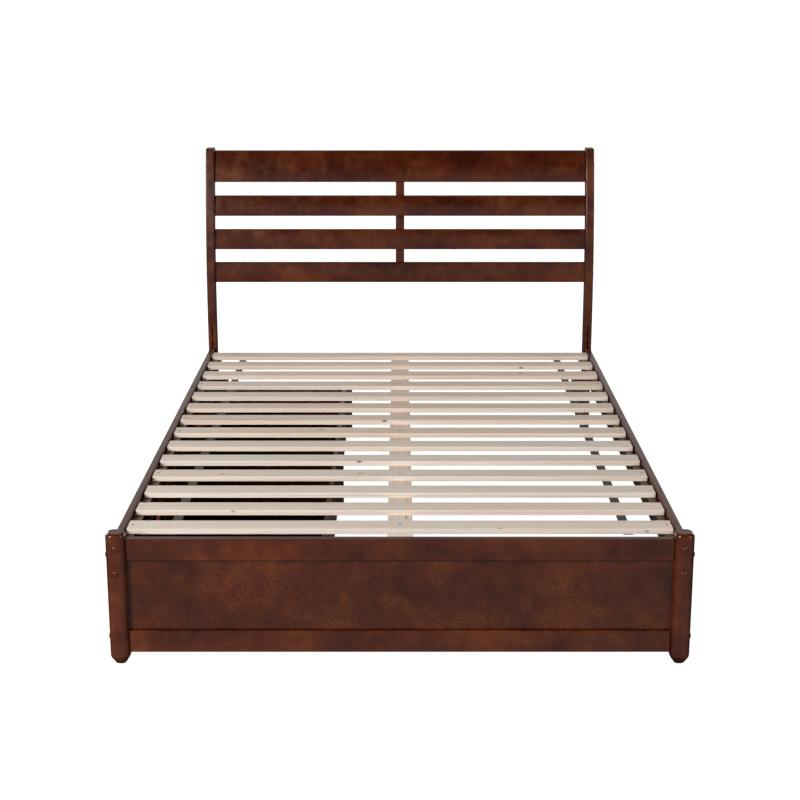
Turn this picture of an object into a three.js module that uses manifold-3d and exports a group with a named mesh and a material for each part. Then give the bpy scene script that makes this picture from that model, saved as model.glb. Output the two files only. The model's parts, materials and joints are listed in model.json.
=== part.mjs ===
// Platform bed with two rolling storage drawers, for a mattress 1370 wide and 1905 long.
//
// Millimetres, +Z up. X runs across the bed and Y along it, from the footboard (-Y) to the
// headboard (+Y). The drawers roll out along -X. The origin is on the floor, under the middle
// of the bed's outer box.

import * as THREE from "three";
import { mergeVertices } from "three/addons/utils/BufferGeometryUtils.js";
import Module from "manifold-3d";

const wasm = await Module();
wasm.setup();

// ---------------------------------------------------------------- driving dimensions

const GAP = 0.3; // between pieces that touch
const HALF_SPAN = 705.5; // from the middle of the bed to the centre lines of posts, rails and legs
const DECK_LENGTH = 1927; // clear length, from the footboard to the headboard legs
const DECK_TOP = 331;

const POST_SIZE = 50;
const POST_HEIGHT = 350;
const POST_CORNER = 19;
const POST_TOP_ROUND = 9;
const POST_GROOVE_DEPTH = 6;
// The foot's taper, as [radius, height] of its outline up to the full post.
const POST_TAPER = [[11.5, 0], [13.5, 1.5], [26, 20], [30, 30]];

const FOOT_RAIL_DEPTH = 22;
const FOOT_TOP_RAIL = { bottom: 276.5, top: 333.5 };
const FOOT_BOTTOM_RAIL = { bottom: 31, top: 89.5 };
const FOOT_PANEL_THICKNESS = 6;
const FOOT_PANEL_RECESS = 9;
const FOOT_PANEL_INSERT = 7; // into the grooves of the rails
const FOOT_GROOVE_DEPTH = 8;

const LEG_WIDTH = 30;
const LEG_DEPTH = 50;
const LEG_HEIGHT = 1071;
const LEG_TOP_ROUND = 5;
const LEAN_START = 470; // the headboard is upright below this height and curves back above it
const LEAN_RADIUS = 2075;
const LEAN_STEP = 55;
const LEG_SLOT = { width: 6, height: 50, depth: 14, bottoms: [257, 312, 367] };

const HEADBOARD_RAILS = [
  { name: "headboard_top_rail", bottom: 948, top: 1062 },
  { name: "headboard_upper_slat", bottom: 825, top: 899 },
  { name: "headboard_middle_slat", bottom: 702, top: 776 },
  { name: "headboard_lower_slat", bottom: 579, top: 654 },
];
const HEADBOARD_RAIL_DEPTH = 20;
const BATTEN = { width: 32, depth: 12, bottom: 592, top: 1048 };
const CORNER_BLOCK = { width: 36, depth: 50, bottom: 100, top: 220 };

const SIDE_RAIL = { thickness: 19, bottom: 220, top: 333 };
const CLEAT = { width: 25, height: 43, endRoom: 12 };

const SLAT_COUNT = 14;
const SLAT_PITCH = 134;
const SLAT = { length: 1384, width: 59, thickness: 15, footMargin: 58 };
const STRAP = { x: 578, width: 25.4, thickness: 1.2 };
const CENTER_RAIL = { width: 64, height: 30 };
const CENTER_LEG = { size: 50, foot: 6 };

const BOLT = { capRadius: 7.5, capHeight: 3.5, shank: 4, reach: 60 };
const BOLT_HEIGHTS = { upper: 312, lower: 247 };
const SIDE_BOLT_HEIGHTS = { upper: 291, lower: 72 };

const DRAWER = {
  boxWidth: 862,
  frontWidth: 886,
  frontGap: 6,
  frontThickness: 19,
  frontBottom: 12,
  frontTop: 212,
  frontFace: -714,
  wall: 15,
  wallBottom: 34,
  wallTop: 205,
  depth: 516,
  backInset: 19.5,
};
const DRAWER_PANEL = { thickness: 6, bottom: 44, grooveDepth: 5 };
const HAND_HOLE = { width: 110, height: 28, below: 40 };
const WHEEL = { radius: 15, width: 14, y: 380, chamfer: 1.5 };
const AXLE = { radius: 3, headRadius: 5, headWidth: 2.5, endPlay: 0.8 };
const CASTER_FRAME = { width: 22, plate: 2, tab: 2, tabWidth: 18, tabBottom: 7, sideClearance: 1.5 };
const AXLE_INSET = 40; // from the ends of the drawer's box

// ---------------------------------------------------------------- places worked out from them

const OUTER_LENGTH =
  BOLT.capHeight + POST_SIZE / 2 + FOOT_RAIL_DEPTH / 2 + DECK_LENGTH + LEG_DEPTH + lean(LEG_HEIGHT);
const POST_Y = -OUTER_LENGTH / 2 + BOLT.capHeight + POST_SIZE / 2;
const FOOTBOARD_BACK = POST_Y + FOOT_RAIL_DEPTH / 2;
const POST_BACK = POST_Y + POST_SIZE / 2;
const LEG_FRONT = FOOTBOARD_BACK + DECK_LENGTH;
const SLAT_BOTTOM = DECK_TOP - SLAT.thickness;
const LAST_SLAT_Y = FOOTBOARD_BACK + SLAT.footMargin + SLAT.width / 2;
const FIRST_SLAT_Y = LAST_SLAT_Y + (SLAT_COUNT - 1) * SLAT_PITCH;
const DECK_MIDDLE_Y = (FIRST_SLAT_Y + LAST_SLAT_Y) / 2;
const SLAT_FIELD_LENGTH = FIRST_SLAT_Y - LAST_SLAT_Y + SLAT.width;

// ---------------------------------------------------------------- materials

function finish(color, roughness, metalness = 0) {
  return new THREE.MeshStandardMaterial({ color, roughness, metalness });
}

const WALNUT = finish(0x542e24, 0.38);
const DARK_WALNUT = finish(0x402622, 0.45);
const PINE = finish(0xc8b6a7, 0.6);
const DARK_PANEL = finish(0x1c1512, 0.55);
const WEBBING = finish(0x3c3e3a, 0.9);
const STEEL = finish(0x8d8d8f, 0.4, 0.9);
const CAP = finish(0x3a211b, 0.35);
const WHEEL_PLASTIC = finish(0x1f1d1c, 0.45);

// ---------------------------------------------------------------- shape helpers

const X_AXIS = new THREE.Vector3(1, 0, 0);
const Y_AXIS = new THREE.Vector3(0, 1, 0);
const Z_AXIS = new THREE.Vector3(0, 0, 1);

// How far back the headboard's curve has reached at a height.
function lean(height) {
  return height > LEAN_START ? (height - LEAN_START) ** 2 / (2 * LEAN_RADIUS) : 0;
}

function toSolid(geometry) {
  const bare = geometry.clone();
  bare.deleteAttribute("normal");
  bare.deleteAttribute("uv");
  const merged = mergeVertices(bare, 1e-3);
  const mesh = new wasm.Mesh({
    numProp: 3,
    vertProperties: merged.attributes.position.array,
    triVerts: new Uint32Array(merged.index.array),
  });
  return new wasm.Manifold(mesh);
}

function toGeometry(solid) {
  const mesh = solid.getMesh();
  const geometry = new THREE.BufferGeometry();
  geometry.setAttribute("position", new THREE.BufferAttribute(mesh.vertProperties, 3));
  geometry.setIndex(new THREE.BufferAttribute(mesh.triVerts, 1));
  geometry.computeVertexNormals();
  return geometry;
}

function cut(geometry, tools) {
  return toGeometry(tools.reduce((body, tool) => body.subtract(toSolid(tool)), toSolid(geometry)));
}

function join(geometries) {
  const [first, ...others] = geometries.map(toSolid);
  return toGeometry(others.reduce((body, other) => body.add(other), first));
}

// A box from its size and the middle of it.
function box(size, middle) {
  return new THREE.BoxGeometry(...size).translate(...middle);
}

// An outline in Y and Z, extruded along X with its middle at X = 0.
function extrudeAlongX(points, length) {
  const shape = new THREE.Shape(points.map(([y, z]) => new THREE.Vector2(y, z)));
  const geometry = new THREE.ExtrudeGeometry(shape, { depth: length, bevelEnabled: false });
  geometry.translate(0, 0, -length / 2);
  return geometry.applyMatrix4(new THREE.Matrix4().makeBasis(Y_AXIS, Z_AXIS, X_AXIS));
}

// A round bar along Y, from y0 to y1.
function barAlongY(radius, y0, y1, x, z) {
  return new THREE.CylinderGeometry(radius, radius, y1 - y0, 16).translate(x, (y0 + y1) / 2, z);
}

// A round bar along X, from x0 to x1.
function barAlongX(radius, x0, x1, y, z) {
  return new THREE.CylinderGeometry(radius, radius, x1 - x0, 16)
    .rotateZ(Math.PI / 2)
    .translate((x0 + x1) / 2, y, z);
}

// A profile of [radius, y] points turned round the Y axis.
function turnAboutY(profile, segments) {
  const points = profile.map(([radius, y]) => new THREE.Vector2(radius, y));
  return new THREE.LatheGeometry(points, segments);
}

const bed = new THREE.Group();

function place(parent, name, geometry, material, position = [0, 0, 0], turn = 0) {
  const mesh = new THREE.Mesh(geometry, material);
  mesh.name = name;
  mesh.position.set(...position);
  mesh.rotation.z = turn;
  parent.add(mesh);
}

const SIDES = [
  { side: "left", sign: -1 },
  { side: "right", sign: 1 },
];

// ---------------------------------------------------------------- bolts

// A bolt along +Y from a domed cap that stands proud of the plane Y = 0.
function boltGeometry(length) {
  const { capRadius, capHeight, shank } = BOLT;
  const dome = [0, 1, 2, 3].map((step) => {
    const angle = (step / 3) * (Math.PI / 2);
    return [capRadius * Math.sin(angle), -GAP - (capHeight - GAP) * Math.cos(angle)];
  });
  return turnAboutY([...dome, [shank, -GAP], [shank, length], [0, length]], 16);
}

const BOLT_LENGTH = POST_SIZE + BOLT.reach;
const BOLT_HOLE_RADIUS = BOLT.shank + GAP;

// ---------------------------------------------------------------- footboard

const PANEL_BACK = -FOOT_RAIL_DEPTH / 2 + FOOT_PANEL_RECESS + FOOT_PANEL_THICKNESS;
const PANEL_MIDDLE = PANEL_BACK - FOOT_PANEL_THICKNESS / 2;
const PANEL_GROOVE = FOOT_PANEL_THICKNESS + 2 * GAP;

function roundedSquare(half, radius) {
  const flat = half - radius;
  const shape = new THREE.Shape();
  [[1, -1], [1, 1], [-1, 1], [-1, -1]].forEach(([x, y], quarter) => {
    const start = (quarter - 1) * (Math.PI / 2);
    shape.absarc(x * flat, y * flat, radius, start, start + Math.PI / 2, false);
  });
  return shape;
}

// A post round enough to look turned, tapering into a small foot.
function postGeometry(sign) {
  const block = new THREE.ExtrudeGeometry(roundedSquare(POST_SIZE / 2, POST_CORNER), {
    depth: POST_HEIGHT - 2 * POST_TOP_ROUND,
    bevelThickness: POST_TOP_ROUND,
    bevelSize: POST_TOP_ROUND,
    bevelOffset: -POST_TOP_ROUND,
    bevelSegments: 4,
    curveSegments: 5,
  }).translate(0, 0, POST_TOP_ROUND);
  const [widest] = POST_TAPER.at(-1);
  const taper = [[0, 0], ...POST_TAPER, [widest, POST_HEIGHT + 1], [0, POST_HEIGHT + 1]];
  const envelope = turnAboutY(taper, 32).rotateX(Math.PI / 2);
  const body = toGeometry(toSolid(block).intersect(toSolid(envelope)));

  const inward = -sign * (POST_SIZE / 2);
  const grooveHeight = FOOT_TOP_RAIL.bottom - FOOT_BOTTOM_RAIL.top;
  const groove = box(
    [2 * POST_GROOVE_DEPTH, PANEL_GROOVE, grooveHeight],
    [inward, PANEL_MIDDLE, FOOT_BOTTOM_RAIL.top + grooveHeight / 2],
  );
  const railBolts = Object.values(BOLT_HEIGHTS).map((z) =>
    barAlongY(BOLT_HOLE_RADIUS, -POST_SIZE, POST_SIZE, 0, z),
  );
  const sideBolts = Object.values(SIDE_BOLT_HEIGHTS).map((z) =>
    barAlongX(BOLT_HOLE_RADIUS, -POST_SIZE, POST_SIZE, 0, z),
  );
  return cut(body, [groove, ...railBolts, ...sideBolts]);
}

// The rail between the posts, with a groove for the panel on one edge and bolt holes in its ends.
function footRailGeometry({ bottom, top }, grooveEdge, boltHeight) {
  const length = 2 * HALF_SPAN - POST_SIZE - 2 * GAP;
  const rail = box([length, FOOT_RAIL_DEPTH, top - bottom], [0, 0, (bottom + top) / 2]);
  const groove = box([length + 1, PANEL_GROOVE, 2 * FOOT_GROOVE_DEPTH], [0, PANEL_MIDDLE, grooveEdge]);
  const holes = SIDES.map(({ sign }) => {
    const end = sign * (length / 2);
    return barAlongX(BOLT_HOLE_RADIUS, end - BOLT.reach - 2, end + BOLT.reach + 2, 0, boltHeight);
  });
  return cut(rail, [groove, ...holes]);
}

function addFootboard() {
  const footboard = new THREE.Group();
  footboard.position.y = POST_Y;
  bed.add(footboard);

  for (const { side, sign } of SIDES) {
    const x = sign * HALF_SPAN;
    place(footboard, `footboard_post_${side}`, postGeometry(sign), WALNUT, [x, 0, 0]);
    for (const [level, z] of Object.entries(BOLT_HEIGHTS)) {
      const name = `rail_bolt_${side}_${level}`;
      place(footboard, name, boltGeometry(BOLT_LENGTH), CAP, [x, -POST_SIZE / 2, z]);
    }
    for (const [level, z] of Object.entries(SIDE_BOLT_HEIGHTS)) {
      const name = `footboard_bolt_${side}_${level}`;
      const outer = sign * (HALF_SPAN + POST_SIZE / 2);
      const turn = sign * (Math.PI / 2);
      place(footboard, name, boltGeometry(BOLT_LENGTH), CAP, [outer, 0, z], turn);
    }
  }

  const topRail = footRailGeometry(FOOT_TOP_RAIL, FOOT_TOP_RAIL.bottom, SIDE_BOLT_HEIGHTS.upper);
  const bottomRail = footRailGeometry(FOOT_BOTTOM_RAIL, FOOT_BOTTOM_RAIL.top, SIDE_BOLT_HEIGHTS.lower);
  place(footboard, "footboard_top_rail", topRail, WALNUT);
  place(footboard, "footboard_bottom_rail", bottomRail, WALNUT);

  // The sheet reaches into both rails, and a strip between the rails also into the posts' grooves.
  const shown = { width: 2 * HALF_SPAN - POST_SIZE, height: FOOT_TOP_RAIL.bottom - FOOT_BOTTOM_RAIL.top };
  const sheetSize = [shown.width - 2, FOOT_PANEL_THICKNESS, shown.height + 2 * FOOT_PANEL_INSERT];
  const tongueWidth = shown.width + 2 * (POST_GROOVE_DEPTH - 1);
  const sheet = new THREE.BoxGeometry(...sheetSize);
  const tongue = new THREE.BoxGeometry(tongueWidth, FOOT_PANEL_THICKNESS, shown.height - 1);
  const middle = [0, PANEL_MIDDLE, (FOOT_BOTTOM_RAIL.top + FOOT_TOP_RAIL.bottom) / 2];
  place(footboard, "footboard_panel", join([sheet, tongue]), WALNUT, middle);
}

// ---------------------------------------------------------------- headboard

// The side outline of a piece that follows the headboard's curve.
function curvedOutline(bottom, top, front, depth) {
  const start = Math.max(bottom, LEAN_START);
  const steps = Math.ceil((top - start) / LEAN_STEP);
  const heights = [];
  if (bottom < start) heights.push(bottom);
  for (let i = 0; i <= steps; i += 1) {
    heights.push(start + ((top - start) * i) / steps);
  }
  const face = heights.map((z) => [lean(z) + front, z]);
  const rear = heights.map((z) => [lean(z) + front + depth, z]);
  return [...rear, ...face.reverse()];
}

// A leg's outline, with its top front corner eased off. The front face starts halfway round.
function legOutline() {
  const outline = curvedOutline(0, LEG_HEIGHT, 0, LEG_DEPTH);
  const topFront = outline.length / 2;
  const [y, z] = outline[topFront];
  outline.splice(topFront, 1, [y + LEG_TOP_ROUND, z], [y, z - LEG_TOP_ROUND]);
  return outline;
}

function headboardLegGeometry() {
  const leg = extrudeAlongX(legOutline(), LEG_WIDTH);
  const { width, height, depth, bottoms } = LEG_SLOT;
  const slots = bottoms.map((z) => box([width, 2 * depth, height], [0, 0, z + height / 2]));
  return cut(leg, slots);
}

function addHeadboard() {
  const headboard = new THREE.Group();
  headboard.position.y = LEG_FRONT;
  bed.add(headboard);

  const inner = HALF_SPAN - LEG_WIDTH / 2;
  const railFront = (LEG_DEPTH - HEADBOARD_RAIL_DEPTH) / 2;
  for (const { side, sign } of SIDES) {
    place(headboard, `headboard_leg_${side}`, headboardLegGeometry(), WALNUT, [sign * HALF_SPAN, 0, 0]);
    const { width, depth, bottom, top } = CORNER_BLOCK;
    const middle = [sign * (inner - GAP - width / 2), depth / 2, (bottom + top) / 2];
    const block = new THREE.BoxGeometry(width, depth, top - bottom);
    place(headboard, `headboard_corner_block_${side}`, block, WALNUT, middle);
  }
  for (const { name, bottom, top } of HEADBOARD_RAILS) {
    const outline = curvedOutline(bottom, top, railFront, HEADBOARD_RAIL_DEPTH);
    place(headboard, name, extrudeAlongX(outline, 2 * (inner - GAP)), WALNUT);
  }
  const battenFront = railFront + HEADBOARD_RAIL_DEPTH + 2 * GAP;
  const batten = curvedOutline(BATTEN.bottom, BATTEN.top, battenFront, BATTEN.depth);
  place(headboard, "headboard_center_batten", extrudeAlongX(batten, BATTEN.width), WALNUT);
}

// ---------------------------------------------------------------- side rails and deck

function sideRailGeometry(length) {
  const { thickness, bottom, top } = SIDE_RAIL;
  const rail = new THREE.BoxGeometry(thickness, length, top - bottom);
  const middle = (bottom + top) / 2;
  const holes = Object.values(BOLT_HEIGHTS).map((z) =>
    barAlongY(BOLT_HOLE_RADIUS, -length / 2 - 5, -length / 2 + BOLT.reach + 2, 0, z - middle),
  );
  return cut(rail, holes);
}

function addSideRails() {
  const length = LEG_FRONT - POST_BACK - 2 * GAP;
  const middleY = (LEG_FRONT + POST_BACK) / 2;
  const middleZ = (SIDE_RAIL.bottom + SIDE_RAIL.top) / 2;
  const cleatLength = length - 2 * CLEAT.endRoom;
  const cleatX = HALF_SPAN - SIDE_RAIL.thickness / 2 - GAP - CLEAT.width / 2;
  const cleatZ = SLAT_BOTTOM - GAP - CLEAT.height / 2;
  for (const { side, sign } of SIDES) {
    const railPlace = [sign * HALF_SPAN, middleY, middleZ];
    place(bed, `side_rail_${side}`, sideRailGeometry(length), WALNUT, railPlace);
    const cleat = new THREE.BoxGeometry(CLEAT.width, cleatLength, CLEAT.height);
    place(bed, `slat_cleat_${side}`, cleat, DARK_WALNUT, [sign * cleatX, middleY, cleatZ]);
  }
}

function addDeck() {
  for (let i = 0; i < SLAT_COUNT; i += 1) {
    const name = `slat_${String(i + 1).padStart(2, "0")}`;
    const slat = new THREE.BoxGeometry(SLAT.length, SLAT.width, SLAT.thickness);
    const middle = [0, FIRST_SLAT_Y - i * SLAT_PITCH, SLAT_BOTTOM + SLAT.thickness / 2];
    place(bed, name, slat, PINE, middle);
  }

  const under = SLAT_BOTTOM - GAP;
  for (const { side, sign } of SIDES) {
    const strap = new THREE.BoxGeometry(STRAP.width, SLAT_FIELD_LENGTH, STRAP.thickness);
    const middle = [sign * STRAP.x, DECK_MIDDLE_Y, under - STRAP.thickness / 2];
    place(bed, `slat_strap_${side}`, strap, WEBBING, middle);
  }

  const rail = new THREE.BoxGeometry(CENTER_RAIL.width, SLAT_FIELD_LENGTH, CENTER_RAIL.height);
  place(bed, "center_rail", rail, PINE, [0, DECK_MIDDLE_Y, under - CENTER_RAIL.height / 2]);

  const half = CENTER_LEG.size / 2;
  const top = under - CENTER_RAIL.height - GAP;
  const { foot } = CENTER_LEG;
  const rightHalf = [[half - foot, 0], [half, foot], [half, top]];
  const leftHalf = rightHalf.map(([y, z]) => [-y, z]).reverse();
  const leg = extrudeAlongX([...rightHalf, ...leftHalf], CENTER_LEG.size);
  place(bed, "center_leg", leg, PINE, [0, DECK_MIDDLE_Y, 0]);
}

// ---------------------------------------------------------------- drawers

// A board standing along X, with a groove for the bottom panel in its +Y face.
function drawerBoard(length, thickness, bottom, top, grooveLength) {
  const { thickness: panel, bottom: panelBottom, grooveDepth } = DRAWER_PANEL;
  const board = box([length, thickness, top - bottom], [0, 0, (bottom + top) / 2]);
  const grooveZ = panelBottom + panel / 2;
  const groove = box([grooveLength, 2 * grooveDepth, panel + 2 * GAP], [0, thickness / 2, grooveZ]);
  return cut(board, [groove]);
}

function handHoleTool(z) {
  const { width, height } = HAND_HOLE;
  const radius = height / 2;
  const reach = width / 2 - radius;
  const shape = new THREE.Shape();
  shape.absarc(reach, 0, radius, -Math.PI / 2, Math.PI / 2, false);
  shape.absarc(-reach, 0, radius, Math.PI / 2, (3 * Math.PI) / 2, false);
  const depth = 4 * DRAWER.frontThickness;
  return new THREE.ExtrudeGeometry(shape, { depth, bevelEnabled: false, curveSegments: 8 })
    .translate(0, 0, -depth / 2)
    .rotateX(Math.PI / 2)
    .translate(0, 0, z);
}

// An axle with its two wheels, turned as one piece about Y.
function wheelSetGeometry() {
  const { radius, width, y, chamfer } = WHEEL;
  const near = y - width / 2;
  const far = y + width / 2;
  const headStart = far + CASTER_FRAME.sideClearance + CASTER_FRAME.tab + AXLE.endPlay;
  const end = headStart + AXLE.headWidth;
  const half = [
    [AXLE.radius, near],
    [radius - chamfer, near],
    [radius, near + chamfer],
    [radius, far - chamfer],
    [radius - chamfer, far],
    [AXLE.radius, far],
    [AXLE.radius, headStart],
    [AXLE.headRadius, headStart],
    [AXLE.headRadius, end],
    [0, end],
  ];
  const mirrored = half.map(([r, at]) => [r, -at]).reverse();
  return turnAboutY([...mirrored, ...half], 24);
}

// A flat steel frame under the drawer's box: a strip across it at each axle, with a pair of tabs
// beside each wheel, and a runner under each side wall. The axles are at X = +-axleX.
function casterFrameGeometry(axleX) {
  const { width, plate, tab, tabWidth, tabBottom, sideClearance } = CASTER_FRAME;
  const top = DRAWER.wallBottom - GAP;
  const outer = { x: 2 * axleX + width, y: DRAWER.boxWidth - 6 };
  const sheet = box([outer.x, outer.y, plate], [0, 0, top - plate / 2]);
  const window = box([outer.x - 2 * width, outer.y - 2 * width, 3 * plate], [0, 0, top - plate / 2]);
  const tabOffset = WHEEL.width / 2 + sideClearance + tab / 2;
  const tabHeight = top - plate / 2 - tabBottom;
  const tabs = [];
  const holes = [];
  for (const x of [-axleX, axleX]) {
    for (const wheelY of [-WHEEL.y, WHEEL.y]) {
      for (const y of [wheelY - tabOffset, wheelY + tabOffset]) {
        tabs.push(box([tabWidth, tab, tabHeight], [x, y, tabBottom + tabHeight / 2]));
      }
    }
    holes.push(barAlongY(AXLE.radius + GAP, -outer.y, outer.y, x, WHEEL.radius));
  }
  return cut(join([cut(sheet, [window]), ...tabs]), holes);
}

function addDrawer(name, middleY) {
  const drawer = new THREE.Group();
  drawer.position.y = middleY;
  bed.add(drawer);

  const { boxWidth, frontThickness, frontFace, wall, wallBottom, wallTop, depth } = DRAWER;
  const quarter = Math.PI / 2;
  const boxFront = frontFace + frontThickness + GAP;
  const boxMiddle = boxFront + depth / 2;
  const wallY = (boxWidth - wall) / 2;
  const innerWidth = boxWidth - 2 * wall;
  const panelWidth = innerWidth + 2 * (DRAWER_PANEL.grooveDepth - GAP);

  const { frontWidth, frontBottom, frontTop } = DRAWER;
  const front = drawerBoard(frontWidth, frontThickness, frontBottom, frontTop, panelWidth + 2 * GAP);
  const frontX = frontFace + frontThickness / 2;
  const holed = cut(front, [handHoleTool(frontTop - HAND_HOLE.below)]);
  place(drawer, `${name}_front`, holed, WALNUT, [frontX, 0, 0], -quarter);

  const side = drawerBoard(depth, wall, wallBottom, wallTop, depth + 1);
  place(drawer, `${name}_side_foot`, side, WALNUT, [boxMiddle, -wallY, 0]);
  place(drawer, `${name}_side_head`, side, WALNUT, [boxMiddle, wallY, 0], 2 * quarter);

  const back = drawerBoard(innerWidth - 2 * GAP, wall, wallBottom, wallTop, innerWidth);
  const backX = boxFront + depth - DRAWER.backInset - wall / 2;
  place(drawer, `${name}_back`, back, WALNUT, [backX, 0, 0], quarter);

  const panelFront = boxFront - DRAWER_PANEL.grooveDepth;
  const panelBack = backX - wall / 2 + DRAWER_PANEL.grooveDepth - GAP;
  const panel = new THREE.BoxGeometry(panelBack - panelFront, panelWidth, DRAWER_PANEL.thickness);
  const panelZ = DRAWER_PANEL.bottom + DRAWER_PANEL.thickness / 2;
  const panelPlace = [(panelFront + panelBack) / 2, 0, panelZ];
  place(drawer, `${name}_bottom`, panel, DARK_PANEL, panelPlace);

  const axleX = depth / 2 - AXLE_INSET;
  place(drawer, `${name}_caster_frame`, casterFrameGeometry(axleX), STEEL, [boxMiddle, 0, 0]);
  for (const [end, x] of Object.entries({ front: boxMiddle - axleX, back: boxMiddle + axleX })) {
    place(drawer, `${name}_${end}_wheels`, wheelSetGeometry(), WHEEL_PLASTIC, [x, 0, WHEEL.radius]);
  }
}

addFootboard();
addHeadboard();
addSideRails();
addDeck();

const drawersMiddleY = (POST_BACK + LEG_FRONT) / 2;
const drawerOffset = (DRAWER.frontWidth + DRAWER.frontGap) / 2;
addDrawer("foot_drawer", drawersMiddleY - drawerOffset);
addDrawer("head_drawer", drawersMiddleY + drawerOffset);

export default bed;
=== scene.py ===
"""Platform bed with two rolling storage drawers: the looks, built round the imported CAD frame.

Metres, +Z up. X runs across the bed, Y from the footboard (-Y) to the headboard (+Y).
"""

import json
import math
import random

import bmesh
import bpy
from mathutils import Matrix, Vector

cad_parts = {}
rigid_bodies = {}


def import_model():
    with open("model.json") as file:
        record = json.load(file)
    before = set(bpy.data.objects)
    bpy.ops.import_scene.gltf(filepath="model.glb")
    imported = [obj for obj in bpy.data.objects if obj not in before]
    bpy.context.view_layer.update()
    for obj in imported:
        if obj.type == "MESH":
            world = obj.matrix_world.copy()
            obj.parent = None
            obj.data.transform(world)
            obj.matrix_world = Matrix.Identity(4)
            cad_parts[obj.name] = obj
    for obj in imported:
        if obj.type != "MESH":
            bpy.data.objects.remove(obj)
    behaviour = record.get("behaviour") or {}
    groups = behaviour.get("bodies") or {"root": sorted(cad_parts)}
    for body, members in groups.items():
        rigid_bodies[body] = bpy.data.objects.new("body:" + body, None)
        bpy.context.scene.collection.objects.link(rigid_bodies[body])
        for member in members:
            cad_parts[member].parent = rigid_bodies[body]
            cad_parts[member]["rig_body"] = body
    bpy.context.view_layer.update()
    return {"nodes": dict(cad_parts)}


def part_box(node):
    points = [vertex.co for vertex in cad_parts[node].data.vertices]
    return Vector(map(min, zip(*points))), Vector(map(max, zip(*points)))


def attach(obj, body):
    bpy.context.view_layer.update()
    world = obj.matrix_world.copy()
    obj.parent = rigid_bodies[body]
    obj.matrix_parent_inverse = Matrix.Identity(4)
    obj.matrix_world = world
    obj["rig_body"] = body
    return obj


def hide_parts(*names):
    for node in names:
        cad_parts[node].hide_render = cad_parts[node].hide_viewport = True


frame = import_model()

X, Y, Z = range(3)  # axes, as the directions of the grain
SIDES = {"left": -1, "right": 1}
DRAWERS = ("foot_drawer", "head_drawer")
SLATS = [f"slat_{i:02d}" for i in range(1, 15)]
SCREWED_SLATS = ("slat_01", "slat_04", "slat_07", "slat_08", "slat_11", "slat_14")
HEADBOARD_RAILS = (
    "headboard_top_rail",
    "headboard_upper_slat",
    "headboard_middle_slat",
    "headboard_lower_slat",
)
LEAN_START = 0.470  # the headboard is upright below this height and curves back above it
LEAN_RADIUS = 2.075


def lean(height):
    """How far back the headboard's curve has reached at a height."""
    return max(height - LEAN_START, 0.0) ** 2 / (2 * LEAN_RADIUS)


# ---------------------------------------------------------------- camera, light and floor

CAMERA_PLACE = (0.0, -4.452, 1.684)
CAMERA_DIP = 13.37  # degrees below level
CAMERA_LENS = 66.13  # mm, on a sensor 36 mm wide
CAMERA_SHIFT = -0.09

# Brightness of the studio against the sine of the elevation, in front of the bed and behind it.
FRONT_ZONE = [(-0.72, 0.15), (-0.58, 0.42), (0.15, 0.42), (0.29, 0.02)]
BACK_ZONE = [(-0.10, 0.05), (0.14, 0.62), (0.38, 0.62), (0.50, 0.03)]

# Name, place, aim, width, watts and tint of each light.
LIGHTS = (
    ("key_light", (-3.6, -4.6, 2.7), (0.0, -0.3, 0.3), 1.6, 425.0, (1.0, 0.955, 0.915)),
    ("fill_light", (3.6, -4.6, 2.7), (0.0, -0.3, 0.3), 1.1, 115.0, (1.0, 1.0, 1.0)),
    ("top_light", (0.0, 1.0, 4.6), (0.0, 0.6, 0.0), 3.0, 14.0, (1.0, 1.0, 1.0)),
    ("rear_left_light", (-4.2, 4.6, 1.8), (0.0, 0.3, 0.4), 2.2, 150.0, (1.0, 1.0, 1.0)),
    ("rear_right_light", (4.2, 4.6, 1.8), (0.0, 0.3, 0.4), 2.2, 110.0, (1.0, 1.0, 1.0)),
)

BACKDROP_RADIUS = 60.0
BACKDROP_SIDES = 48


def make_camera():
    data = bpy.data.cameras.new("photo_camera")
    data.lens = CAMERA_LENS
    data.sensor_width = 36.0
    data.shift_y = CAMERA_SHIFT
    camera = bpy.data.objects.new("photo_camera", data)
    camera.location = CAMERA_PLACE
    camera.rotation_euler = (math.radians(90.0 - CAMERA_DIP), 0.0, 0.0)
    bpy.context.scene.collection.objects.link(camera)
    bpy.context.scene.camera = camera


def make_light(name, location, target, size, power, tint):
    data = bpy.data.lights.new(name, "AREA")
    data.shape = "SQUARE"
    data.size = size
    data.energy = power
    data.color = tint
    light = bpy.data.objects.new(name, data)
    light.location = location
    aim = Vector(target) - Vector(location)
    light.rotation_euler = aim.to_track_quat("-Z", "Y").to_euler()
    bpy.context.scene.collection.objects.link(light)


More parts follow.
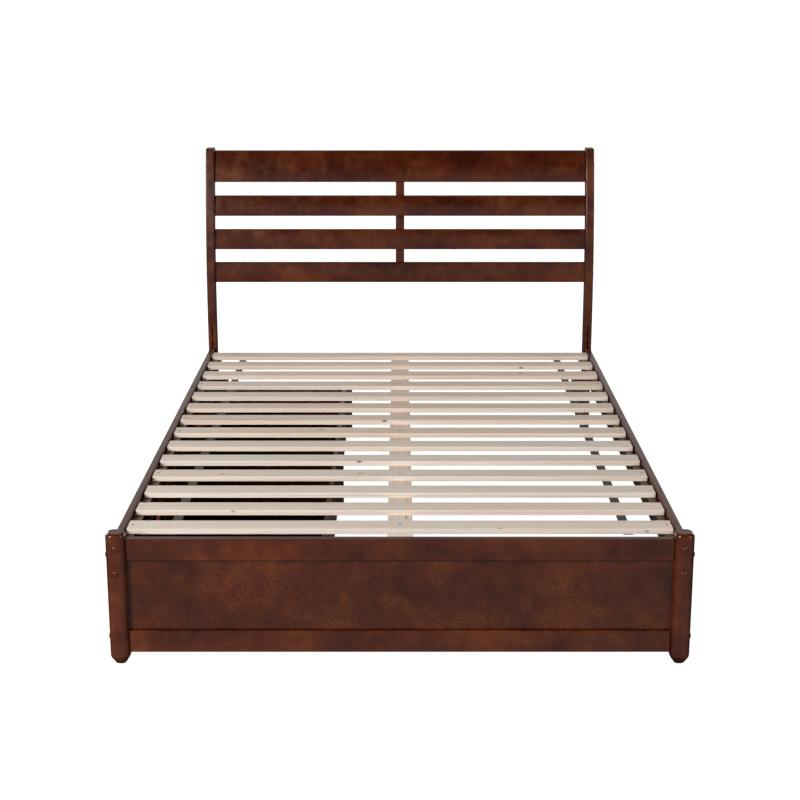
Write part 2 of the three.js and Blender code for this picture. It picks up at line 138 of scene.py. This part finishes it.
def make_world():
    """A dim studio with one bright zone low in front of the bed and another behind it."""
    world = bpy.data.worlds.new("studio")
    bpy.context.scene.world = world
    world.use_nodes = True
    nodes, links = world.node_tree.nodes, world.node_tree.links
    direction = nodes.new("ShaderNodeTexCoord")
    split = nodes.new("ShaderNodeSeparateXYZ")
    links.new(direction.outputs["Generated"], split.inputs[0])

    def zone(socket, stops):
        ramp = nodes.new("ShaderNodeValToRGB")
        elements = ramp.color_ramp.elements
        while len(elements) < len(stops):
            elements.new(0.5)
        for element, (value, grey) in zip(elements, stops):
            element.position = (value + 1.0) / 2.0
            element.color = (grey, grey, grey, 1.0)
        spread = nodes.new("ShaderNodeMapRange")
        spread.inputs["From Min"].default_value = -1.0
        links.new(socket, spread.inputs["Value"])
        links.new(spread.outputs["Result"], ramp.inputs["Fac"])
        return ramp.outputs["Color"]

    front = zone(split.outputs["Z"], FRONT_ZONE)
    back = zone(split.outputs["Z"], BACK_ZONE)
    mix = nodes.new("ShaderNodeMix")
    mix.data_type = "RGBA"
    links.new(zone(split.outputs["Y"], [(-0.45, 0.0), (0.25, 1.0)]), mix.inputs[0])
    links.new(front, mix.inputs[6])
    links.new(back, mix.inputs[7])
    links.new(mix.outputs[2], nodes["Background"].inputs["Color"])


def make_backdrop():
    """A white floor that runs into white walls far away. It doesn't light or mirror in the bed."""
    bm = bmesh.new()
    angles = [2 * math.pi * i / BACKDROP_SIDES for i in range(BACKDROP_SIDES)]
    circle = [(BACKDROP_RADIUS * math.cos(a), BACKDROP_RADIUS * math.sin(a)) for a in angles]
    rings = [[bm.verts.new((x, y, z)) for x, y in circle] for z in (0.0, BACKDROP_RADIUS)]
    bm.faces.new(rings[0])
    for i in range(BACKDROP_SIDES):
        j = (i + 1) % BACKDROP_SIDES
        bm.faces.new((rings[0][j], rings[0][i], rings[1][i], rings[1][j]))
    mesh = bpy.data.meshes.new("backdrop")
    bm.to_mesh(mesh)
    bm.free()
    backdrop = bpy.data.objects.new("backdrop", mesh)
    bpy.context.scene.collection.objects.link(backdrop)
    backdrop.visible_diffuse = False
    backdrop.visible_glossy = False
    backdrop.visible_shadow = False
    material = bpy.data.materials.new("backdrop_white")
    material.use_nodes = True
    shader = material.node_tree.nodes["Principled BSDF"]
    shader.inputs["Base Color"].default_value = (0.3, 0.3, 0.3, 1.0)
    shader.inputs["Roughness"].default_value = 0.9
    shader.inputs["Specular IOR Level"].default_value = 0.0
    shader.inputs["Emission Color"].default_value = (1.0, 1.0, 1.0, 1.0)
    shader.inputs["Emission Strength"].default_value = 1.0
    mesh.materials.append(material)


def make_studio():
    make_camera()
    make_world()
    make_backdrop()
    for light in LIGHTS:
        make_light(*light)
    bpy.context.scene.view_settings.view_transform = "Standard"


# ---------------------------------------------------------------- material helpers


class Material:
    """A node material with short calls for the textures that the finishes share."""

    def __init__(self, name, roughness, ior=1.45, metallic=0.0):
        self.material = bpy.data.materials.new(name)
        self.material.use_nodes = True
        tree = self.material.node_tree
        self.nodes, self.links = tree.nodes, tree.links
        self.shader = self.nodes["Principled BSDF"]
        self.shader.inputs["Roughness"].default_value = roughness
        self.shader.inputs["IOR"].default_value = ior
        self.shader.inputs["Metallic"].default_value = metallic
        self.place = self.nodes.new("ShaderNodeTexCoord").outputs["Object"]

    def mapping(self, scale, offset=(0.0, 0.0, 0.0)):
        node = self.nodes.new("ShaderNodeMapping")
        node.inputs["Scale"].default_value = scale
        node.inputs["Location"].default_value = offset
        self.links.new(self.place, node.inputs["Vector"])
        return node.outputs["Vector"]

    def noise(self, vector, scale, detail=2.0, roughness=0.5, distortion=0.0):
        node = self.nodes.new("ShaderNodeTexNoise")
        node.inputs["Scale"].default_value = scale
        node.inputs["Detail"].default_value = detail
        node.inputs["Roughness"].default_value = roughness
        node.inputs["Distortion"].default_value = distortion
        self.links.new(vector, node.inputs["Vector"])
        return node.outputs["Fac"]

    def ramp(self, factor, stops):
        """A colour ramp: stops are (position, colour or grey)."""
        node = self.nodes.new("ShaderNodeValToRGB")
        elements = node.color_ramp.elements
        while len(elements) < len(stops):
            elements.new(0.5)
        for element, (position, colour) in zip(elements, stops):
            rgb = colour if isinstance(colour, tuple) else (colour,) * 3
            element.position = position
            element.color = (*rgb, 1.0)
        self.links.new(factor, node.inputs["Fac"])
        return node.outputs["Color"]

    def mix(self, factor, first, second, mode="MIX"):
        """Mixes two colours; factor is a socket or a number."""
        node = self.nodes.new("ShaderNodeMix")
        node.data_type = "RGBA"
        node.blend_type = mode
        if isinstance(factor, float):
            node.inputs[0].default_value = factor
        else:
            self.links.new(factor, node.inputs[0])
        for socket, value in ((node.inputs[6], first), (node.inputs[7], second)):
            if isinstance(value, tuple):
                socket.default_value = (*value, 1.0)
            else:
                self.links.new(value, socket)
        return node.outputs[2]

    def math(self, operation, first, second=0.0):
        node = self.nodes.new("ShaderNodeMath")
        node.operation = operation
        for socket, value in ((node.inputs[0], first), (node.inputs[1], second)):
            if isinstance(value, (int, float)):
                socket.default_value = value
            else:
                self.links.new(value, socket)
        return node.outputs[0]

    def finish(self, colour, roughness=None, height=None, depth=0.0002):
        """Joins the colour, roughness and height sockets to the shader."""
        self.links.new(colour, self.shader.inputs["Base Color"])
        if roughness is not None:
            self.links.new(roughness, self.shader.inputs["Roughness"])
        if height is not None:
            bump = self.nodes.new("ShaderNodeBump")
            bump.inputs["Distance"].default_value = depth
            self.links.new(height, bump.inputs["Height"])
            self.links.new(bump.outputs["Normal"], self.shader.inputs["Normal"])
        return self.material


def along(axis, length_scale, cross_scale):
    """A texture scale that stretches along one axis."""
    return tuple(length_scale if i == axis else cross_scale for i in range(3))


# ---------------------------------------------------------------- finishes

WALNUT_DARK = (0.032, 0.0044, 0.0013)
WALNUT_MID = (0.060, 0.0105, 0.0021)
WALNUT_WARM = (0.097, 0.0220, 0.0038)
WALNUT_PORE = (0.022, 0.004, 0.001)
# How much of the stain's tone comes from each size of its pattern.
CLOUD_SHARE, BLOTCH_SHARE, STREAK_SHARE = 0.50, 0.38, 0.12


def walnut(name, axis, seed, shade=1.0, pores=0.0, gloss=0.22):
    """Blotchy walnut stain under satin lacquer, with the grain along one axis.

    shade darkens it, pores says how strongly open pores show, and gloss is the lacquer's roughness.
    """
    rng = random.Random(seed)
    offset = tuple(rng.uniform(0.0, 9.0) for _ in range(3))
    made = Material(name, roughness=gloss, ior=1.45)
    clouds = made.noise(made.mapping(along(axis, 5.0, 7.0), offset), 1.0, 1.0)
    blotches = made.noise(made.mapping(along(axis, 24.0, 20.0), offset), 1.0, 3.0, 0.6, 0.1)
    streaks = made.noise(made.mapping(along(axis, 11.0, 240.0), offset), 1.0, 3.0, 0.6)
    fibres = made.noise(made.mapping(along(axis, 22.0, 430.0), offset), 1.0, 2.0, 0.6)
    tone = made.math("MULTIPLY", clouds, CLOUD_SHARE)
    tone = made.math("ADD", tone, made.math("MULTIPLY", blotches, BLOTCH_SHARE))
    tone = made.math("ADD", tone, made.math("MULTIPLY", streaks, STREAK_SHARE))
    stain = made.ramp(
        tone,
        [
            (0.375, tuple(c * shade for c in WALNUT_DARK)),
            (0.50, tuple(c * shade for c in WALNUT_MID)),
            (0.625, tuple(c * shade for c in WALNUT_WARM)),
        ],
    )
    grain = made.ramp(fibres, [(0.25, 0.80), (0.55, 1.0), (0.8, 1.10)])
    colour = made.mix(1.0, stain, grain, "MULTIPLY")
    lines = made.noise(made.mapping(along(axis, 3.0, 130.0), offset), 1.0, 2.0, 0.5, 0.3)
    colour = made.mix(1.0, colour, made.ramp(lines, [(0.26, 0.80), (0.36, 1.0)]), "MULTIPLY")
    height = fibres
    if pores:
        cells = made.noise(made.mapping(along(axis, 105.0, 400.0), offset), 1.0, 1.0, 0.5, 0.2)
        open_pores = made.ramp(cells, [(0.50, 0.0), (0.60, 1.0)])
        patches = made.noise(made.mapping(along(axis, 6.0, 14.0), offset), 1.0, 1.0)
        where = made.math("MULTIPLY", open_pores, made.ramp(patches, [(0.3, 0.65), (0.6, 1.0)]))
        colour = made.mix(made.math("MULTIPLY", where, pores), colour, WALNUT_PORE)
        height = made.math("SUBTRACT", fibres, made.math("MULTIPLY", where, 1.5))
    roughness = made.ramp(blotches, [(0.3, gloss - 0.04), (0.7, gloss + 0.06)])
    return made.finish(colour, roughness, height, depth=0.00003)


KNOT_BROWN = (0.19, 0.066, 0.032)


def pine(name, axis, seed):
    """Bare planed pine: fine straight grain, a tint of its own, and now and then a small knot."""
    rng = random.Random(seed)
    offset = tuple(rng.uniform(0.0, 9.0) for _ in range(3))
    warmth = rng.uniform(-0.6, 1.4)
    made = Material(name, roughness=0.5, ior=1.45)
    drift = made.noise(made.mapping(along(axis, 0.9, 9.0), offset), 1.0, 2.0)
    bands = made.noise(made.mapping(along(axis, 1.6, 190.0), offset), 1.0, 3.0, 0.55, 0.3)
    fibres = made.noise(made.mapping(along(axis, 45.0, 1500.0), offset), 1.0, 2.0)
    light = (0.675, 0.618 - 0.020 * warmth, 0.560 - 0.036 * warmth)
    deep = (0.55, 0.484 - 0.028 * warmth, 0.424 - 0.040 * warmth)
    base = made.ramp(bands, [(0.32, deep), (0.55, light), (0.75, light)])
    rosy = made.ramp(drift, [(0.35, (1.0, 0.93, 0.86)), (0.65, (1.0, 1.0, 1.0))])
    colour = made.mix(1.0, base, rosy, "MULTIPLY")
    colour = made.mix(1.0, colour, made.ramp(fibres, [(0.3, 0.92), (0.7, 1.03)]), "MULTIPLY")

    knots = made.nodes.new("ShaderNodeTexVoronoi")
    knots.inputs["Scale"].default_value = 1.0
    made.links.new(made.mapping(along(axis, 8.0, 20.0), offset), knots.inputs["Vector"])
    core = made.ramp(knots.outputs["Distance"], [(0.035, 1.0), (0.09, 0.0)])
    chosen = made.ramp(knots.outputs["Color"], [(0.53, 0.0), (0.55, 1.0)])
    knot = made.math("MULTIPLY", core, chosen)
    colour = made.mix(made.math("MULTIPLY", knot, 0.95), colour, KNOT_BROWN)
    roughness = made.ramp(bands, [(0.3, 0.44), (0.7, 0.56)])
    return made.finish(colour, roughness, fibres, depth=0.0001)


def webbing(name):
    """Woven strap: ribs across it and threads along it."""
    made = Material(name, roughness=0.85)
    ribs = made.noise(made.mapping((700.0, 90.0, 90.0)), 1.0, 1.0)
    threads = made.nodes.new("ShaderNodeTexWave")
    threads.inputs["Scale"].default_value = 1.0
    threads.inputs["Distortion"].default_value = 0.4
    threads.bands_direction = "Y"
    made.links.new(made.mapping((60.0, 160.0, 60.0)), threads.inputs["Vector"])
    weave = made.math("ADD", made.math("MULTIPLY", ribs, 0.5), threads.outputs["Fac"])
    colour = made.ramp(weave, [(0.25, (0.028, 0.028, 0.026)), (1.0, (0.075, 0.074, 0.070))])
    return made.finish(colour, None, weave, depth=0.0003)


def painted_shade_panel(name):
    """Near-black sheet for the bottoms of the drawers: painted shade for the shadow inside them, over a
    faint real grain.
    """
    made = Material(name, roughness=0.5, ior=1.25)
    grain = made.noise(made.mapping((60.0, 5.0, 60.0)), 1.0, 3.0)
    colour = made.ramp(grain, [(0.3, (0.0020, 0.0012, 0.0010)), (0.7, (0.0060, 0.0030, 0.0022))])
    roughness = made.ramp(grain, [(0.3, 0.42), (0.7, 0.58)])
    return made.finish(colour, roughness, grain, depth=0.0001)


def plated_steel(name, dark, light):
    """Plated steel with faint rolling lines."""
    made = Material(name, roughness=0.35, metallic=1.0)
    lines = made.noise(made.mapping((900.0, 25.0, 900.0)), 1.0, 2.0)
    bloom = made.noise(made.mapping((30.0, 30.0, 30.0)), 1.0, 3.0)
    colour = made.ramp(bloom, [(0.3, dark), (0.7, light)])
    roughness = made.ramp(lines, [(0.3, 0.28), (0.7, 0.48)])
    return made.finish(colour, roughness, lines, depth=0.00003)


def moulded_plastic(name, dark, light, roughness):
    """Moulded plastic with a fine spark-eroded texture and dust in its low spots."""
    made = Material(name, roughness=roughness)
    texture = made.noise(made.mapping((1400.0,) * 3), 1.0, 2.0)
    dust = made.noise(made.mapping((55.0,) * 3), 1.0, 3.0)
    colour = made.ramp(dust, [(0.35, dark), (0.75, light)])
    rough = made.ramp(dust, [(0.3, roughness - 0.06), (0.7, roughness + 0.10)])
    return made.finish(colour, rough, texture, depth=0.00005)


# ---------------------------------------------------------------- mesh helpers

SMOOTH_ANGLE = math.radians(50.0)  # edges sharper than this stay crisp
SHARP_ANGLE = math.radians(30.0)  # edges sharper than this may be rounded
FLAT_ANGLE = math.radians(0.4)  # edges flatter than this are dissolved
WELD_DISTANCE = 2e-6
PLANE_TOLERANCE = 1e-4


def piece_from(bm, name, material, node=None, body=None):
    """Turns a bmesh into a piece that replaces a CAD node, or rides on a body."""
    mesh = bpy.data.meshes.new(name)
    bm.to_mesh(mesh)
    bm.free()
    for polygon in mesh.polygons:
        polygon.use_smooth = True
    mesh.set_sharp_from_angle(angle=SMOOTH_ANGLE)
    mesh.materials.append(material)
    piece = bpy.data.objects.new(name, mesh)
    bpy.context.scene.collection.objects.link(piece)
    weighted = piece.modifiers.new("weighted_normals", "WEIGHTED_NORMAL")
    weighted.weight = 100
    weighted.keep_sharp = True
    if node:
        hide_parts(node)
        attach(piece, frame["nodes"][node]["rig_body"])
    else:
        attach(piece, body)


def on_two_planes(edge, lo, hi):
    """True for an edge along an outer edge of the box from lo to hi."""
    shared = 0
    for axis in range(3):
        for plane in (lo[axis], hi[axis]):
            if all(abs(v.co[axis] - plane) < PLANE_TOLERANCE for v in edge.verts):
                shared += 1
    return shared >= 2


def every_edge(edge):
    return True


def is_sharp(edge):
    return len(edge.link_faces) == 2 and edge.calc_face_angle(0.0) > SHARP_ANGLE


def refine(node, material, radius, choose=None, segments=3):
    """Makes a copy of a CAD node with its chosen edges rounded; by default those of its outer box."""
    lo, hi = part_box(node)
    bm = bmesh.new()
    bm.from_mesh(frame["nodes"][node].data)
    bmesh.ops.remove_doubles(bm, verts=bm.verts, dist=WELD_DISTANCE)
    bmesh.ops.dissolve_limit(bm, angle_limit=FLAT_ANGLE, verts=bm.verts, edges=bm.edges)
    if choose is None:
        edges = [e for e in bm.edges if is_sharp(e) and on_two_planes(e, lo, hi)]
    else:
        edges = [e for e in bm.edges if is_sharp(e) and choose(e)]
    bmesh.ops.bevel(
        bm, geom=edges, offset=radius, segments=segments, profile=0.5, affect="EDGES", clamp_overlap=True
    )
    piece_from(bm, f"{node}_shaped", material, node=node)


def loft(bm, rings):
    """Joins rings of points into a closed skin, with a face on each end."""
    made = [[bm.verts.new(p) for p in ring] for ring in rings]
    count = len(made[0])
    for low, high in zip(made, made[1:]):
        for i in range(count):
            j = (i + 1) % count
            bm.faces.new((low[i], low[j], high[j], high[i]))
    bm.faces.new(list(reversed(made[0])))
    bm.faces.new(made[-1])


def rounded_square_ring(centre, half, corner, height, per_corner=10):
    """A level ring of points round a square with rounded corners."""
    flat = half - corner
    ring = []
    for quarter, (sx, sy) in enumerate(((1, 1), (-1, 1), (-1, -1), (1, -1))):
        for step in range(per_corner + 1):
            angle = (quarter + step / per_corner) * math.pi / 2
            x = centre[0] + sx * flat + corner * math.cos(angle)
            y = centre[1] + sy * flat + corner * math.sin(angle)
            ring.append((x, y, height))
    return ring


def turned(bm, profile, origin, axis, segments=40):
    """A lathed solid: profile is (radius, distance along axis) from one end on the axis to the other."""
    axis = Vector(axis).normalized()
    side = axis.orthogonal().normalized()
    other = axis.cross(side)
    rings = []
    for radius, distance in profile:
        centre = Vector(origin) + axis * distance
        if radius == 0.0:
            rings.append([bm.verts.new(centre)])
            continue
        ring = []
        for i in range(segments):
            angle = 2 * math.pi * i / segments
            outward = side * math.cos(angle) + other * math.sin(angle)
            ring.append(bm.verts.new(centre + outward * radius))
        rings.append(ring)
    for low, high in zip(rings, rings[1:]):
        for i in range(segments):
            j = (i + 1) % segments
            corners = [low[i % len(low)], low[j % len(low)], high[j % len(high)], high[i % len(high)]]
            bm.faces.new(list(dict.fromkeys(corners)))


# ---------------------------------------------------------------- headboard

SLOT_REACH = 0.005  # the slots of a leg lie within this distance of its middle
BLOCK_SHADE = 0.8


def make_headboard():
    for side, sign in SIDES.items():
        node = f"headboard_leg_{side}"
        lo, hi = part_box(node)
        middle = (lo.x + hi.x) / 2

        def outside_slots(edge, middle=middle):
            return not all(abs(v.co.x - middle) < SLOT_REACH for v in edge.verts)

        material = walnut(f"walnut_{node}", Z, 10 + sign)
        refine(node, material, radius=0.003, choose=outside_slots)
        make_leg_caps(side, sign, lo, hi)
        block = f"headboard_corner_block_{side}"
        refine(block, walnut(f"walnut_{block}", Z, 14 + sign, BLOCK_SHADE), radius=0.002)
    for i, node in enumerate(HEADBOARD_RAILS):
        lo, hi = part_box(node)
        section = crowned_section(lo, hi)
        bm = bmesh.new()
        loft(bm, [[(x, y, z) for y, z in section] for x in (lo.x, hi.x)])
        material = walnut(f"walnut_{node}", X, 20 + i, gloss=0.18)
        piece_from(bm, f"{node}_shaped", material, node=node)
    batten = "headboard_center_batten"
    refine(batten, walnut(f"walnut_{batten}", Z, 30), radius=0.002, choose=every_edge)


RAIL_EDGE_ROUND = 0.0045
RAIL_ROUND_STEPS = 6
RAIL_FACE_STEPS = 10
CROWN_SLOPE = 0.15  # how far the front of a headboard rail tips over towards its long edges


def crowned_section(lo, hi):
    """The outline of a headboard rail: it follows the curve, with a crowned front and rounded edges."""
    front = lo.y - lean(lo.z)
    depth = hi.y - lean(hi.z) - front
    middle = (lo.z + hi.z) / 2
    half = (hi.z - lo.z) / 2
    r = RAIL_EDGE_ROUND
    low, high = lo.z + r, hi.z - r
    levels = [low + (high - low) * step / RAIL_FACE_STEPS for step in range(RAIL_FACE_STEPS + 1)]

    def edge_round(y, z, start):
        """A quarter circle round (y, z), clockwise from an angle in degrees."""
        turns = [90.0 * step / RAIL_ROUND_STEPS for step in range(RAIL_ROUND_STEPS + 1)]
        angles = [math.radians(start - turn) for turn in turns]
        return [(y + r * math.cos(a), z + r * math.sin(a)) for a in angles]

    outline = [(0.0, z) for z in levels]
    outline += edge_round(r, high, 180.0)[1:]
    outline += edge_round(depth - r, high, 90.0)
    outline += [(depth, z) for z in reversed(levels[1:-1])]
    outline += edge_round(depth - r, low, 0.0)
    outline += edge_round(r, low, -90.0)[:-1]
    section = []
    for y, z in outline:
        crown = CROWN_SLOPE * (z - middle) ** 2 / (2 * half) * (1.0 - y / depth)
        section.append((front + y + crown + lean(z), z))
    return section


LEG_CAP_HEIGHTS = {"upper": 1.005, "lower": 0.612}
CAP_RADIUS = 0.0075
CAP_HEIGHT = 0.0035
CAP_DOME_SHARE = 0.86  # of its height; the rest is a straight rim
CAP_STEPS = 8


def cap_profile():
    """The dome of a cap, from its crown to its rim."""
    dome = []
    for step in range(CAP_STEPS + 1):
        angle = step / CAP_STEPS * math.pi / 2
        dome.append((CAP_RADIUS * math.sin(angle), CAP_HEIGHT * (1 - math.cos(angle)) * CAP_DOME_SHARE))
    return dome


def make_leg_caps(side, sign, lo, hi):
    depth = hi.y - lo.y - lean(hi.z)
    outer = lo.x if sign < 0 else hi.x
    for level, height in LEG_CAP_HEIGHTS.items():
        y = lo.y + lean(height) + depth / 2
        bm = bmesh.new()
        profile = cap_profile() + [(CAP_RADIUS, CAP_HEIGHT), (0.0, CAP_HEIGHT)]
        turned(bm, profile, (outer + sign * CAP_HEIGHT, y, height), (-sign, 0, 0))
        name = f"headboard_cap_{side}_{level}"
        piece_from(bm, name, CAP_FINISH, body="frame")


# ---------------------------------------------------------------- footboard

POST_CORNER = 0.019
POST_TOP_ROUND = 0.009
POST_TOP_STEPS = 9
# Height and half width of the foot's profile, from the floor up to where the shaft begins.
POST_FOOT = [
    (0.0, 0.0105),
    (0.0006, 0.0118),
    (0.002, 0.0132),
    (0.008, 0.0172),
    (0.015, 0.0217),
    (0.019, 0.0238),
    (0.022, 0.0246),
]
POST_FOOT_HEIGHT = 0.027


def post_rings(lo, hi):
    """Rings of a strongly rounded post: a tapering foot, a straight shaft and a rounded top."""
    centre = ((lo.x + hi.x) / 2, (lo.y + hi.y) / 2)
    full = (hi.x - lo.x) / 2
    share = POST_CORNER / full
    foot = POST_FOOT + [(POST_FOOT_HEIGHT, full)]
    rings = [rounded_square_ring(centre, half, half * share, height) for height, half in foot]
    for step in range(POST_TOP_STEPS + 1):
        angle = step / POST_TOP_STEPS * math.pi / 2
        inset = POST_TOP_ROUND * (1 - math.cos(angle))
        height = hi.z - POST_TOP_ROUND * (1 - math.sin(angle))
        rings.append(rounded_square_ring(centre, full - inset, POST_CORNER - inset, height))
    return rings


BOLT_RADIUS = 0.004
BOLT_TIP_LENGTH = 0.002
BOLT_TIP_INSET = 0.001
CAP_LIP = 0.0003  # how far the underside of a bolt's cap rises from the shank to its rim


def make_bolt(node):
    """A bolt under a domed cap. It points inwards along the longer side of its box."""
    lo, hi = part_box(node)
    size = hi - lo
    length = max(size)
    middle = (lo + hi) / 2
    if size.y > size.x:
        axis = Vector((0, 1, 0))
        origin = Vector((middle.x, lo.y, middle.z))
    else:
        axis = Vector((1, 0, 0)) if middle.x < 0 else Vector((-1, 0, 0))
        origin = middle - axis * (length / 2)
    shank = [
        (BOLT_RADIUS, CAP_HEIGHT),
        (BOLT_RADIUS, length - BOLT_TIP_LENGTH),
        (BOLT_RADIUS - BOLT_TIP_INSET, length),
        (0.0, length),
    ]
    bm = bmesh.new()
    turned(bm, cap_profile() + [(CAP_RADIUS, CAP_HEIGHT - CAP_LIP)] + shank, origin, axis)
    piece_from(bm, f"{node}_turned", CAP_FINISH, node=node)


def make_footboard():
    for side, sign in SIDES.items():
        node = f"footboard_post_{side}"
        bm = bmesh.new()
        loft(bm, post_rings(*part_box(node)))
        bmesh.ops.remove_doubles(bm, verts=bm.verts, dist=WELD_DISTANCE)
        material = walnut(f"walnut_{node}", Z, 40 + sign, gloss=0.15)
        piece_from(bm, f"{node}_turned", material, node=node)
        for level in ("upper", "lower"):
            make_bolt(f"rail_bolt_{side}_{level}")
            make_bolt(f"footboard_bolt_{side}_{level}")
    for i, node in enumerate(("footboard_top_rail", "footboard_bottom_rail")):
        refine(node, walnut(f"walnut_{node}", X, 50 + i), radius=0.0022)
    node = "footboard_panel"
    refine(node, walnut(f"walnut_{node}", X, 54, pores=0.75), radius=0.0005)


# ---------------------------------------------------------------- rails and deck

CLEAT_SHADE = 0.55


def make_deck():
    for side, sign in SIDES.items():
        rail = f"side_rail_{side}"
        refine(rail, walnut(f"walnut_{rail}", Y, 60 + sign), radius=0.003)
        cleat = f"slat_cleat_{side}"
        refine(cleat, walnut(f"walnut_{cleat}", Y, 64 + sign, CLEAT_SHADE), radius=0.002)
        strap = f"slat_strap_{side}"
        refine(strap, WEBBING, radius=0.0004, segments=2)
    for i, slat in enumerate(SLATS):
        refine(slat, pine(f"pine_{slat}", X, 100 + i), radius=0.0012)
    refine("center_rail", pine("pine_center_rail", Y, 130), radius=0.002)
    refine("center_leg", pine("pine_center_leg", Z, 131), radius=0.002, choose=every_edge)
    make_screws()


SCREW_RADIUS = 0.0036
SCREW_INSET = 0.012  # from the ends of a slat
SCREW_PROUD = 0.0004
SCREW_RIM = 0.0003  # how far the edge of the head rolls down
SCREW_SEAT = 0.003  # depth of the head below the top of the slat
SCREW_RINGS = (0.0, 0.22, 0.5, 0.58, 0.88, 1.0)  # as shares of the radius
SCREW_SEGMENTS = 32
CROSS_DEPTH = 0.0011
CROSS_CORE = 0.3  # as a share of the screw's radius
CROSS_REACH = 0.5
CROSS_HALF_ARM = 20.0  # degrees either side of an arm of the cross


def screw_height(share, angle):
    """The height of a point of a screw's head against the flat of the head."""
    turn = math.degrees(angle) % 90.0
    on_arm = min(turn, 90.0 - turn) < CROSS_HALF_ARM
    in_cross = share <= CROSS_REACH and (share < CROSS_CORE or on_arm)
    drop = CROSS_DEPTH if in_cross else 0.0
    return -drop - (SCREW_RIM if share == 1.0 else 0.0)


def make_screw(bm, x, y, top):
    """Adds one countersunk screw with a crossed recess, over the face of a slat at a height."""
    angles = [2 * math.pi * i / SCREW_SEGMENTS for i in range(SCREW_SEGMENTS)]
    rings = []
    for share in SCREW_RINGS:
        radius = SCREW_RADIUS * share
        ring = []
        for angle in angles:
            place = (x + radius * math.cos(angle), y + radius * math.sin(angle))
            ring.append(bm.verts.new((*place, top + SCREW_PROUD + screw_height(share, angle))))
        rings.append(ring)
    foot = [bm.verts.new((v.co.x, v.co.y, top - SCREW_SEAT)) for v in rings[-1]]
    rings.append(foot)
    for inner, outer in zip(rings, rings[1:]):
        for i in range(SCREW_SEGMENTS):
            j = (i + 1) % SCREW_SEGMENTS
            bm.faces.new((inner[i], outer[i], outer[j], inner[j]))
    bm.faces.new(list(reversed(foot)))


def make_screws():
    bm = bmesh.new()
    for slat in SCREWED_SLATS:
        lo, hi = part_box(slat)
        for x in (lo.x + SCREW_INSET, 0.0, hi.x - SCREW_INSET):
            make_screw(bm, x, (lo.y + hi.y) / 2, hi.z)
    bmesh.ops.remove_doubles(bm, verts=bm.verts, dist=WELD_DISTANCE)
    piece_from(bm, "slat_screws", SCREW_STEEL, body="frame")


# ---------------------------------------------------------------- drawers

GROOVE_LEVELS = (0.040, 0.052)  # the groove for the bottom lies between these heights
FACE_MARGIN = 0.001
DRAWER_BOX_PAINTED_SHADE = 0.6  # the boxes are darkened below the fronts: painted shade for the shadow inside the drawers


def make_drawer(name, seed):
    front = f"{name}_front"
    inside_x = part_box(front)[0].x + FACE_MARGIN
    low, high = GROOVE_LEVELS

    def outside_groove(edge):
        return not all(low < v.co.z < high and v.co.x > inside_x for v in edge.verts)

    refine(front, walnut(f"walnut_{front}", Y, seed), radius=0.0025, choose=outside_groove)
    # The sides and back are darkened with painted shade, for the shadow under the deck.
    for i, (part, axis) in enumerate((("side_foot", X), ("side_head", X), ("back", Y))):
        node = f"{name}_{part}"
        refine(node, walnut(f"walnut_{node}", axis, seed + 1 + i, DRAWER_BOX_PAINTED_SHADE), radius=0.0018)
    # The bottom is near black: painted shade for the shadow inside the drawer.
    refine(f"{name}_bottom", PAINTED_SHADE_PANEL, radius=0.0006, segments=2)
    refine(f"{name}_caster_frame", STEEL, radius=0.0004, segments=2)
    for end in ("front", "back"):
        make_wheels(f"{name}_{end}_wheels")


AXLE_RADIUS = 0.003
WHEEL_Y = 0.380  # from the middle of the axle to the middle of a wheel
WHEEL_HALF_WIDTH = 0.007
HUB_PROUD = 0.0008
DISH_DEPTH = 0.0018
HUB_RADIUS = 0.0052
DISH_INNER, DISH_OUTER = 0.0056, 0.0112
RIM_RADIUS = 0.0118


def half_wheel(radius):
    """The inner half of a wheel's profile: (radius, distance from its side face)."""
    return [
        (AXLE_RADIUS, -HUB_PROUD),
        (HUB_RADIUS, -HUB_PROUD),
        (DISH_INNER, DISH_DEPTH),
        (DISH_OUTER, DISH_DEPTH),
        (RIM_RADIUS, 0.0),
        (radius - 0.0010, 0.0004),
        (radius - 0.0002, 0.0016),
        (radius, 0.0030),
    ]


def make_wheels(node):
    """Two wheels with a crowned tread and a dished hub, on a plain axle with headed ends."""
    lo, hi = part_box(node)
    half = half_wheel((hi.z - lo.z) / 2)
    near, far = WHEEL_Y - WHEEL_HALF_WIDTH, WHEEL_Y + WHEEL_HALF_WIDTH
    wheel = [(r, near + y) for r, y in half] + [(r, far - y) for r, y in reversed(half)]
    end = (hi.y - lo.y) / 2
    axle_head = [
        (AXLE_RADIUS, end - 0.0024),
        (0.0050, end - 0.0022),
        (0.0050, end - 0.0010),
        (0.0036, end - 0.0002),
        (0.0, end),
    ]
    right = wheel + axle_head
    left = [(r, -y) for r, y in reversed(right)]
    bm = bmesh.new()
    turned(bm, left + right, (lo + hi) / 2, (0, 1, 0), 48)
    piece_from(bm, f"{node}_turned", WHEEL_PLASTIC, node=node)


# ---------------------------------------------------------------- the whole bed

make_studio()
CAP_FINISH = moulded_plastic("cap_brown", (0.052, 0.0085, 0.0020), (0.070, 0.0135, 0.0030), 0.14)
WHEEL_PLASTIC = moulded_plastic("wheel_black", (0.012, 0.011, 0.011), (0.030, 0.028, 0.027), 0.42)
WEBBING = webbing("webbing_grey")
PAINTED_SHADE_PANEL = painted_shade_panel("drawer_bottom_painted_shade")
STEEL = plated_steel("zinc_steel", (0.36, 0.36, 0.38), (0.55, 0.55, 0.56))
SCREW_STEEL = plated_steel("screw_steel", (0.055, 0.065, 0.075), (0.12, 0.13, 0.14))
make_headboard()
make_footboard()
make_deck()
for index, drawer_name in enumerate(DRAWERS):
    make_drawer(drawer_name, 200 + 10 * index)
